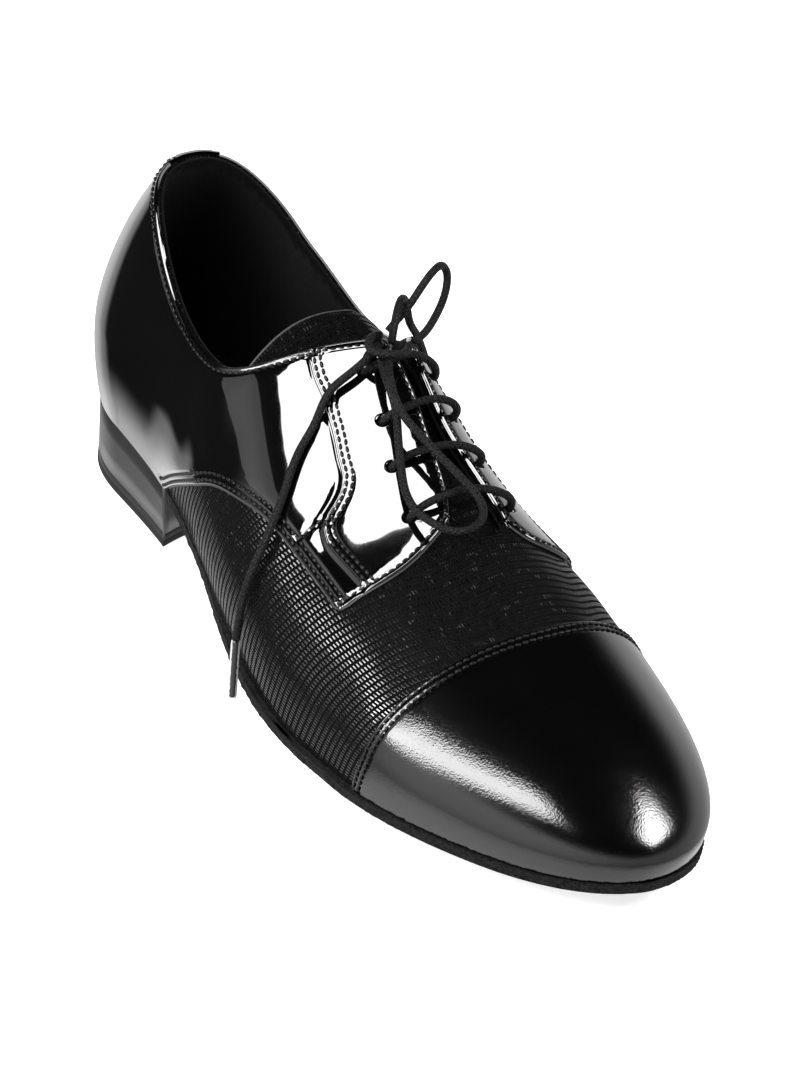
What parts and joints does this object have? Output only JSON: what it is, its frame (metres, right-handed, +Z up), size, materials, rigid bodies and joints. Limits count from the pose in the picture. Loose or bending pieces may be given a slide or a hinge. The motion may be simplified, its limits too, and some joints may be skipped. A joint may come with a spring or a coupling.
{
  "type": "dance shoe",
  "caption": "Low laced dance shoe for the right foot, with patent quarters, a smooth toe cap, a textured vamp, a thin suede sole and a low block heel.",
  "frame": {"origin": "on the floor, below the middle of the shoe's box, laces left out", "axes": "+Z up, -Y towards the toe, +X towards the inner side of this right shoe"},
  "size_m": [0.1075, 0.2946, 0.1192],
  "materials": {
    "patent": "mirror-gloss black patent",
    "vamp": "black nubuck with small glossy embossed dashes",
    "cap": "polished black box leather",
    "lining": "matt black suede",
    "sole": "black suede with a rough edge",
    "heel": "dark grey edge-dressed leatherboard, semi-matt",
    "lift": "matt black",
    "lace": "round waxed cotton, grey-black",
    "aglet": "clear plastic over the lace's end"
  },
  "bodies": {
    "root": {"upper": "vamp", "tongue": "vamp", "insole": "lining", "outsole": "sole", "heel_block": "heel", "heel_lift": "lift", "toe_cap": "cap", "quarter_lateral": "patent", "quarter_medial": "patent", "back_tab": "patent", "lace_bar_top": "lace", "lace_bar_upper": "lace", "lace_bar_middle": "lace", "lace_bar_lower": "lace", "lace_knot": "lace", "lace_loop_hanging": "lace", "lace_loop_upright": "lace", "lace_end_lateral": "lace", "lace_end_medial": "lace", "aglet_lateral": "aglet", "aglet_medial": "aglet"}
  },
  "joints": []
}
